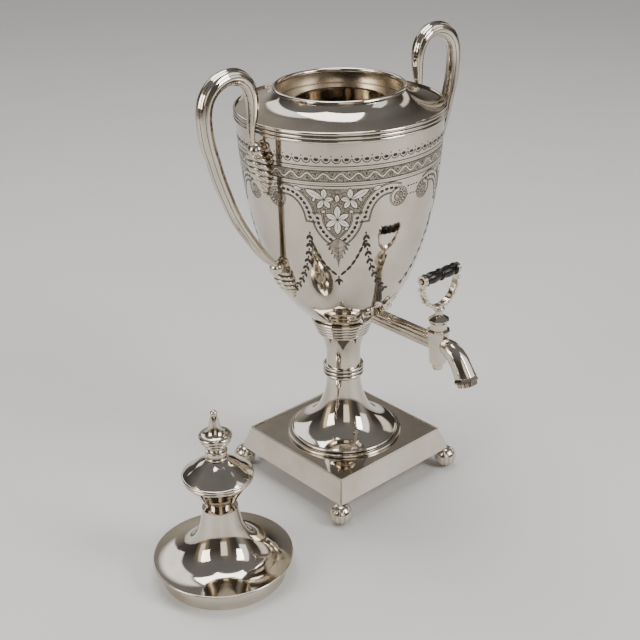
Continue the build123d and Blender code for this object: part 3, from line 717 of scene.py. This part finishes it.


# Handles: painted shade and tarnish, as dark lines laid in the grooves between the reeds, along the bar's
# middle line
handle_line = [(-70.8, 214.8), (-85.5, 234.0), (-95.0, 247.0), (-104.6, 261.8), (-113.0, 278.2),
               (-119.8, 295.4), (-125.3, 311.5), (-129.8, 327.5), (-132.6, 341.3), (-133.4, 354.0),
               (-131.0, 365.4), (-125.0, 373.4), (-116.8, 378.0), (-107.6, 379.2), (-98.8, 376.6),
               (-92.4, 370.4), (-89.2, 361.4), (-88.8, 351.0), (-90.0, 340.0), (-90.6, 330.5), (-88.6, 321.5)]
handle_reeds = 8
handle_half = 5.0
outside_the_handle = 12
reed_line_width = 0.42


def reed_shade_lines(name, handle, side):
    """One handle's lines of painted shade and tarnish, laid on its metal from clear of the lower mount to
    clear of the upper one.
    """
    skin = BVHTree.FromObject(handle, bpy.context.evaluated_depsgraph_get())
    spots = [Vector((x, 0, z)) for x, z in soft_curve(handle_line, 6)]
    ways = [(b - a).normalized() for a, b in zip(spots, spots[1:])]
    track = list(zip(spots, ways))[8:-10]
    shape = bmesh.new()
    flat = Vector((0, 1, 0))
    for groove in range(handle_reeds):
        turn = 2 * math.pi * (groove + 0.5) / handle_reeds
        last = None
        for spot, way in track:
            across = way.cross(flat)
            pair = []
            for edge in (-0.5, 0.5):
                lean = turn + edge * reed_line_width / handle_half
                out = flat * math.cos(lean) + across * math.sin(lean)
                start, ray = (spot + out * outside_the_handle) * mm, -out
                start.x *= side
                ray.x *= side
                hit = skin.ray_cast(start, ray, 11 * mm)[0]
                pair.append(shape.verts.new(hit - ray * line_proud * mm) if hit else None)
            if None in pair:
                last = None
                continue
            if last:
                shape.faces.new((last[0], last[1], pair[1], pair[0]))
            last = pair
    made_piece(name, shape, cut_line, "silver_plate", "urn")


# Dark lines of painted shade and tarnish in the grooves of both handles.
reed_shade_lines("reed_lines_left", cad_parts["handle_left"], 1)
reed_shade_lines("reed_lines_right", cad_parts["handle_right"], -1)


# Tap: a fuller spout, the leaves at its root, beading on the yoke and a turned grip
plug_y = -111.0
tap_panel_middle = 315.0
round_sides = 48
spout_line = [(-117.8, 165.0, 0, 5.6), (-120.0, 165.0, 4, 6.5), (-124.5, 164.2, 18, 7.3),
              (-129.4, 161.6, 37, 7.8), (-133.8, 157.2, 52, 8.0), (-137.2, 152.0, 63, 8.1),
              (-139.2, 148.6, 68, 8.4), (-140.4, 146.4, 70, 9.0)]
spout_bore = 3.6
spout_roundness = 0.45
root_spot = (-45.0, 172.5)
root_leaf_shapes = ((90, 19.0, 7.0), (58, 19.5, 6.6), (122, 19.5, 6.6), (28, 18.5, 6.2), (152, 18.5, 6.2),
                    (2, 15.5, 5.4), (178, 15.5, 5.4))
root_leaf_steps = 8
root_leaf_rim_proud = 0.12
root_leaf_rib_rise = 1.5
yoke_line = [(-18.0, 213.5), (-14.6, 206.0), (-8.6, 200.6), (0.0, 198.4), (8.6, 200.6), (14.6, 206.0),
             (18.0, 213.5)]
yoke_beads = 27
yoke_bead_radius = 0.95
yoke_bead_y = 2.75
grip_z = 224.5
grip_half = 17.4
grip_outline = [(0.9, 0), (5.1, 0), (5.0, 0.5), (4.75, 1.0), (4.5, 1.4), (4.0, 1.7), (4.1, 3.0), (4.6, 5.9),
                (4.85, 7.8), (4.9, 9.2), (4.78, 10.6), (4.4, 12.2), (3.85, 13.9), (3.6, 14.6), (4.2, 15.0),
                (4.75, 15.5), (5.0, 16.2), (4.75, 16.95), (4.2, grip_half), (2.6, grip_half), (2.6, 19.2),
                (2.1, 20.0), (0.9, 20.2)]


def ring_skin(shape, rings):
    """Skins a closed row of rings of points, whose last ring is its first again."""
    laid = [[shape.verts.new(spot) for spot in ring] for ring in rings]
    for a, b in zip(laid, laid[1:]):
        for i in range(len(a)):
            j = (i + 1) % len(a)
            shape.faces.new((a[i], a[j], b[j], b[i]))
    bmesh.ops.remove_doubles(shape, verts=shape.verts, dist=1e-7)


def spout_ring(y, z, bend, half, round_share):
    """A soft octagon round the spout's line."""
    turn = math.radians(bend)
    ring = []
    for i in range(round_sides):
        a = 2 * math.pi * i / round_sides
        flat = math.cos((a + math.pi / 8) % (math.pi / 4) - math.pi / 8)
        r = half * (round_share + (1 - round_share) / flat)
        out, up = r * math.cos(a), r * math.sin(a)
        ring.append((out * mm, (y - up * math.sin(turn)) * mm, (z + up * math.cos(turn)) * mm))
    return ring


def spout():
    shape = bmesh.new()
    outside = [spout_ring(y, z, bend, half, spout_roundness) for y, z, bend, half in spout_line]
    inside = [spout_ring(y, z, bend, spout_bore, 1.0) for y, z, bend, _ in reversed(spout_line)]
    ring_skin(shape, [*outside, *inside, outside[0]])
    made_piece("tap_spout", shape, plate, "silver_plate", "urn", "tap_nozzle")


def root_leaves():
    """Pointed leaves that spread over the bowl from the barrel, each with a raised rib."""
    edges = Cut("root_leaf_edges", cut_line, line_proud)
    shape = bmesh.new()
    steps = root_leaf_steps
    for heading, length, width in root_leaf_shapes:
        outline = leaf_outline(root_spot, heading, length, width, 0.5, steps)
        rim = [shape.verts.new(wall.point(tap_panel_middle + a, z, root_leaf_rim_proud)) for a, z in outline]
        rib = []
        for i in range(1, steps):
            (left_a, left_z), (right_a, right_z) = outline[i], outline[-i]
            proud = 0.25 + root_leaf_rib_rise * math.sin(math.pi * i / steps) ** 0.7
            rib.append(shape.verts.new(wall.point(tap_panel_middle + (left_a + right_a) / 2,
                                                  (left_z + right_z) / 2, proud)))
        for i in range(steps):
            near = [rib[i - 1]] if i else []
            far = [rib[i]] if i < steps - 1 else []
            for a, b in ((rim[i], rim[i + 1]), (rim[-i % len(rim)], rim[-(i + 1) % len(rim)])):
                shape.faces.new([a, b, *far, *near])
        edges.fan(leaf_outline(root_spot, heading, length + 1.0, width + 1.4, 0.5, steps))
    made_piece("root_leaves", shape, cast_plate, "silver_plate", "urn")
    edges.lay((tap_panel_middle,))


def yoke_beading():
    """Two rows of small beads along the yoke's edges."""
    reach = np.linspace(0, 1, len(yoke_line))
    shape = bmesh.new()
    for share in np.linspace(0.02, 0.98, yoke_beads):
        x = float(np.interp(share, reach, [p[0] for p in yoke_line]))
        z = float(np.interp(share, reach, [p[1] for p in yoke_line]))
        for side in (-1, 1):
            spot = ((x * 1.035) * mm, (plug_y + side * yoke_bead_y) * mm, (z - 0.7) * mm)
            bmesh.ops.create_icosphere(shape, subdivisions=2, radius=yoke_bead_radius * mm,
                                       matrix=Matrix.Translation(spot))
    made_piece("yoke_beading", shape, cast_plate, "silver_plate", "tap_key")


def turned_grip():
    """Black wood turned with end beads, two swells and a middle bead, its tenons let into the eyes."""
    shape = bmesh.new()
    rings = []
    for r, x in [(r, -x) for r, x in reversed(grip_outline)] + grip_outline[2:]:
        turns = [2 * math.pi * i / round_sides for i in range(round_sides)]
        rings.append([(x * mm, (plug_y + r * math.cos(turn)) * mm, (grip_z + r * math.sin(turn)) * mm)
                      for turn in turns])
    ring_skin(shape, [*rings, rings[0]])
    made_piece("turned_grip", shape, ebonised, "black_wood", "tap_key", "key_grip")


spout()
root_leaves()
yoke_beading()
turned_grip()


# Floor and studio light
def lay_floor():
    f = Finish("pale_floor")
    speck = f.noise(6.0, 4.0, 0.5)
    colour = f.blend(speck, (0.70, 0.69, 0.675, 1.0), (0.74, 0.73, 0.715, 1.0))
    f.surface(Base_Color=colour, Roughness=0.55)
    shape = bmesh.new()
    bmesh.ops.create_circle(shape, cap_ends=True, segments=96, radius=6.0)
    floor = new_piece("floor", shape, f.holder)
    floor.location.z = -0.0002


# The room's windows as (left, right, low, high, tone), left and right as shares of a turn
studio_windows = ((0.05, 0.13, 0.10, 0.62, (1.6, 1.5, 1.35, 1.0)),
                  (0.30, 0.36, 0.06, 0.70, (1.5, 1.32, 1.08, 1.0)),
                  (0.47, 0.56, 0.30, 0.86, (1.9, 1.9, 1.95, 1.0)),
                  (0.70, 0.75, 0.08, 0.60, (1.3, 1.2, 1.08, 1.0)),
                  (0.84, 0.92, 0.20, 0.80, (1.7, 1.7, 1.75, 1.0)))
window_side = 0.012
window_sill = 0.03
wall_tones = [(0.0, (0.10, 0.09, 0.08)), (0.08, (0.46, 0.38, 0.28)), (0.13, (0.07, 0.06, 0.055)),
              (0.25, (0.09, 0.08, 0.07)), (0.33, (0.60, 0.48, 0.33)), (0.40, (0.06, 0.055, 0.05)),
              (0.52, (0.10, 0.095, 0.09)), (0.58, (0.50, 0.46, 0.41)), (0.66, (0.05, 0.045, 0.04)),
              (0.79, (0.08, 0.07, 0.06)), (0.87, (0.48, 0.45, 0.42)), (0.94, (0.06, 0.06, 0.06)),
              (1.0, (0.10, 0.09, 0.08))]
ceiling_tone = (0.22, 0.22, 0.225, 1.0)
backdrop_tone = (0.78, 0.775, 0.765, 1.0)


def light_studio():
    """A room of dark walls and bright windows for the silver to mirror, behind a plain pale backdrop."""
    world = bpy.data.worlds.new("studio")
    bpy.context.scene.world = world
    f = Finish("studio", world)
    parts = f.node("ShaderNodeSeparateXYZ", None, {0: f.place("Generated")}).socket.node
    x, y, z = (Channel(f, parts.outputs[i]) for i in range(3))
    turn = x.maths("ARCTAN2", x, y) / (2 * math.pi) + 0.5
    walls = f.node("ShaderNodeValToRGB", {"stops": wall_tones}, {0: turn})
    scene_light = f.blend(f.between(z, 0.35, 0.8), walls, ceiling_tone)
    for left, right, low, high, tone in studio_windows:
        across = f.between(turn, left, left + window_side)
        across = across * f.between(turn, right - window_side, right, 1.0, 0.0)
        upward = f.between(z, low, low + window_sill)
        upward = upward * f.between(z, high - window_sill, high, 1.0, 0.0)
        scene_light = f.blend(across * upward, scene_light, tone)
    light = f.node("ShaderNodeBackground", None, {"Color": scene_light, "Strength": 1.0})
    seen = f.node("ShaderNodeBackground", None, {"Color": backdrop_tone, "Strength": 1.0})
    camera_ray = f.node("ShaderNodeLightPath", out=0)
    mixed = f.node("ShaderNodeMixShader", None, {0: camera_ray, 1: light, 2: seen})
    f.node("ShaderNodeOutputWorld", None, {0: mixed})


def hang_lamp(name, place, aim, size, watts, tone=(1.0, 1.0, 1.0), tall=None):
    lamp = bpy.data.lights.new(name, "AREA")
    lamp.energy = watts
    lamp.color = tone
    lamp.size = size
    if tall:
        lamp.shape = "RECTANGLE"
        lamp.size_y = tall
    hung = bpy.data.objects.new(name, lamp)
    hung.location = place
    hung.rotation_euler = (Vector(aim) - Vector(place)).to_track_quat("-Z", "Y").to_euler()
    bpy.context.scene.collection.objects.link(hung)


lay_floor()
light_studio()
hang_lamp("window_box", (0.45, -1.35, 1.1), (0, 0, 0.2), 0.55, 16.0, (1.0, 0.99, 0.97), tall=0.9)
hang_lamp("left_box", (-1.5, 0.25, 0.9), (0, 0, 0.2), 0.7, 11.0, (1.0, 0.97, 0.93), tall=0.8)
hang_lamp("top_box", (0.1, 0.3, 1.9), (0, 0, 0.1), 1.1, 22.0)
